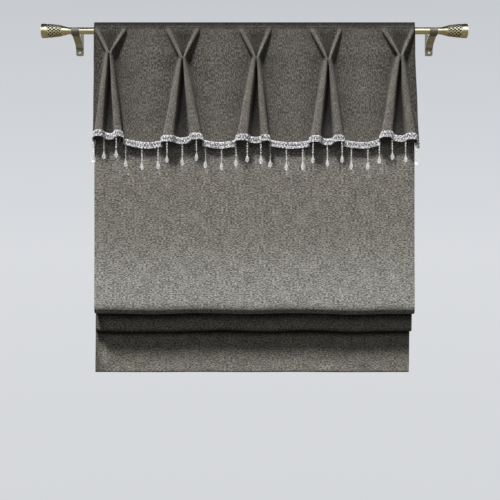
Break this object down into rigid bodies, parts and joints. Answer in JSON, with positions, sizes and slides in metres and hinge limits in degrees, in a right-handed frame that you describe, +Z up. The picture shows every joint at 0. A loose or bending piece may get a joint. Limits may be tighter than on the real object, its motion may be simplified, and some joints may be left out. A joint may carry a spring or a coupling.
{
  "type": "roman blind",
  "caption": "Fabric roman blind with gathered folds, hung by its rod pocket on a wall-bracketed curtain rod, with a pinch-pleated valance edged in braid and bead drops.",
  "frame": {"origin": "centre of the four wall screws, on the face of the wall behind the bracket plates", "axes": "+X to the right as seen from the room, +Y into the wall, +Z up"},
  "size_m": [1.328, 0.1596, 1.0952],
  "materials": {
    "screw_steel": "bright zinc",
    "rod_metal": "champagne satin",
    "finial_metal": "champagne, net relief",
    "bracket_metal": "satin nickel",
    "blind_linen": "slubby linen weave",
    "valance_linen": "slubby linen weave",
    "tack_thread": "thread",
    "braid_silver": "silver gimp",
    "bead_crystal": "clear faceted",
    "sleeve_tape": "woven tape",
    "batten_fibre": "pultruded",
    "ring_plastic": "moulded",
    "bar_aluminium": "mill"
  },
  "bodies": {
    "hanging_frame": {"bead_drop_01": "bead_crystal", "bead_drop_02": "bead_crystal", "bead_drop_03": "bead_crystal", "bead_drop_04": "bead_crystal", "bead_drop_05": "bead_crystal", "bead_drop_06": "bead_crystal", "bead_drop_07": "bead_crystal", "bead_drop_08": "bead_crystal", "bead_drop_09": "bead_crystal", "bead_drop_10": "bead_crystal", "bead_drop_11": "bead_crystal", "bead_drop_12": "bead_crystal", "bead_drop_13": "bead_crystal", "bead_drop_14": "bead_crystal", "bead_drop_15": "bead_crystal", "bead_drop_16": "bead_crystal", "bead_drop_17": "bead_crystal", "bead_drop_18": "bead_crystal", "bead_drop_19": "bead_crystal", "bead_drop_20": "bead_crystal", "bead_drop_21": "bead_crystal", "bead_drop_22": "bead_crystal", "bead_drop_23": "bead_crystal", "bead_drop_24": "bead_crystal", "bead_drop_25": "bead_crystal", "bead_drop_26": "bead_crystal", "beaded_braid": "braid_silver", "blind_cloth": "blind_linen", "bracket_arm_left": "bracket_metal", "bracket_arm_right": "bracket_metal", "curtain_rod": "rod_metal", "finial_left": "finial_metal", "finial_right": "finial_metal", "pleat_tacks": "tack_thread", "valance": "valance_linen", "wall_plate_left": "bracket_metal", "wall_plate_right": "bracket_metal", "wall_screws": "screw_steel"},
    "fold_stack": {"batten_4": "batten_fibre", "batten_sleeve_4": "sleeve_tape", "cord_rings_4": "ring_plastic", "batten_5": "batten_fibre", "batten_sleeve_5": "sleeve_tape", "cord_rings_5": "ring_plastic", "bottom_bar": "bar_aluminium"},
    "panel_batten_1": {"batten_1": "batten_fibre", "batten_sleeve_1": "sleeve_tape", "cord_rings_1": "ring_plastic"},
    "panel_batten_2": {"batten_2": "batten_fibre", "batten_sleeve_2": "sleeve_tape", "cord_rings_2": "ring_plastic"},
    "panel_batten_3": {"batten_3": "batten_fibre", "batten_sleeve_3": "sleeve_tape", "cord_rings_3": "ring_plastic"}
  },
  "joints": [
    {"name": "lift", "type": "slide", "parent": "hanging_frame", "child": "fold_stack", "axis": [0, 0, 1], "range_m": [0, 0.6], "deforming": ["blind_cloth"]},
    {"name": "batten_1_rise", "type": "slide", "parent": "hanging_frame", "child": "panel_batten_1", "axis": [0, 0, 1], "range_m": [0, 0.1163], "deforming": ["blind_cloth"]},
    {"name": "batten_2_rise", "type": "slide", "parent": "hanging_frame", "child": "panel_batten_2", "axis": [0, 0, 1], "range_m": [0, 0.3345], "deforming": ["blind_cloth"]},
    {"name": "batten_3_rise", "type": "slide", "parent": "hanging_frame", "child": "panel_batten_3", "axis": [0, 0, 1], "range_m": [0, 0.5528], "deforming": ["blind_cloth"]}
  ],
  "couplings": [
    {"joint": "batten_1_rise", "follows": "lift", "ratio": 0.1921},
    {"joint": "batten_2_rise", "follows": "lift", "ratio": 0.5559},
    {"joint": "batten_3_rise", "follows": "lift", "ratio": 0.9196}
  ]
}
